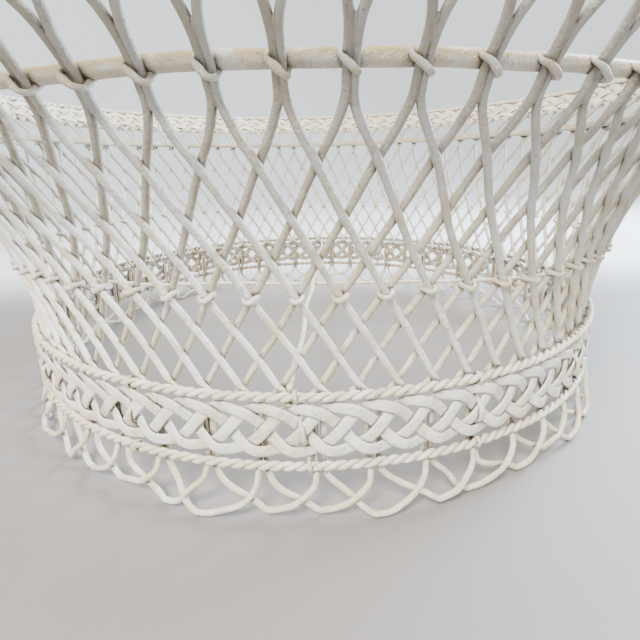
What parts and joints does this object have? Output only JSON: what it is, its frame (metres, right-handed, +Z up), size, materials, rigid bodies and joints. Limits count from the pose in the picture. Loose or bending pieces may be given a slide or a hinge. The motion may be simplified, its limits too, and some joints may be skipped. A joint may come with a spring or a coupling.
{
  "type": "wirework basket",
  "caption": "Round flared wirework basket with a crossed-wire lattice tied to a hoop, plaited bands between twisted ropes at rim and base, and a skirt of wire loops to stand on.",
  "frame": {"origin": "centre of the circle that the foot loops stand on, on the ground plane", "axes": "+Z up along the basket's axis of roundness; the pictured side faces -Y; +X to its right"},
  "size_m": [0.4688, 0.4688, 0.1856],
  "materials": {
    "hoop_paint": "old brushed-on oil paint, satin, with grime",
    "lattice_paint": "old brushed-on oil paint, satin, with grime",
    "rope_paint": "old brushed-on oil paint, satin, with grime",
    "plait_paint": "old brushed-on oil paint, satin, with grime",
    "binding_paint": "old brushed-on oil paint, satin, with grime",
    "foot_paint": "old brushed-on oil paint, satin, with grime",
    "bar_paint": "old brushed-on oil paint, satin, with grime"
  },
  "bodies": {
    "root": {"base_lower_rope_strand_1": "rope_paint", "base_lower_rope_strand_2": "rope_paint", "base_plait_strand_1": "plait_paint", "base_plait_strand_2": "plait_paint", "base_plait_strand_3": "plait_paint", "base_plait_strand_4": "plait_paint", "base_stays": "binding_paint", "base_upper_rope_strand_1": "rope_paint", "base_upper_rope_strand_2": "rope_paint", "floor_bar_front_to_back": "bar_paint", "floor_bar_side_to_side": "bar_paint", "foot_loops_first_round": "foot_paint", "foot_loops_second_round": "foot_paint", "hoop": "hoop_paint", "hoop_ties": "binding_paint", "knot_ties": "binding_paint", "lattice_inner_1": "lattice_paint", "lattice_inner_2": "lattice_paint", "lattice_inner_3": "lattice_paint", "lattice_inner_4": "lattice_paint", "lattice_inner_5": "lattice_paint", "lattice_outer_1": "lattice_paint", "lattice_outer_2": "lattice_paint", "lattice_outer_3": "lattice_paint", "lattice_outer_4": "lattice_paint", "lattice_outer_5": "lattice_paint", "rim_lower_rope_strand_1": "rope_paint", "rim_lower_rope_strand_2": "rope_paint", "rim_plait_strand_1": "plait_paint", "rim_plait_strand_2": "plait_paint", "rim_plait_strand_3": "plait_paint", "rim_plait_strand_4": "plait_paint", "rim_stays": "binding_paint", "rim_upper_rope_strand_1": "rope_paint", "rim_upper_rope_strand_2": "rope_paint"}
  },
  "joints": []
}
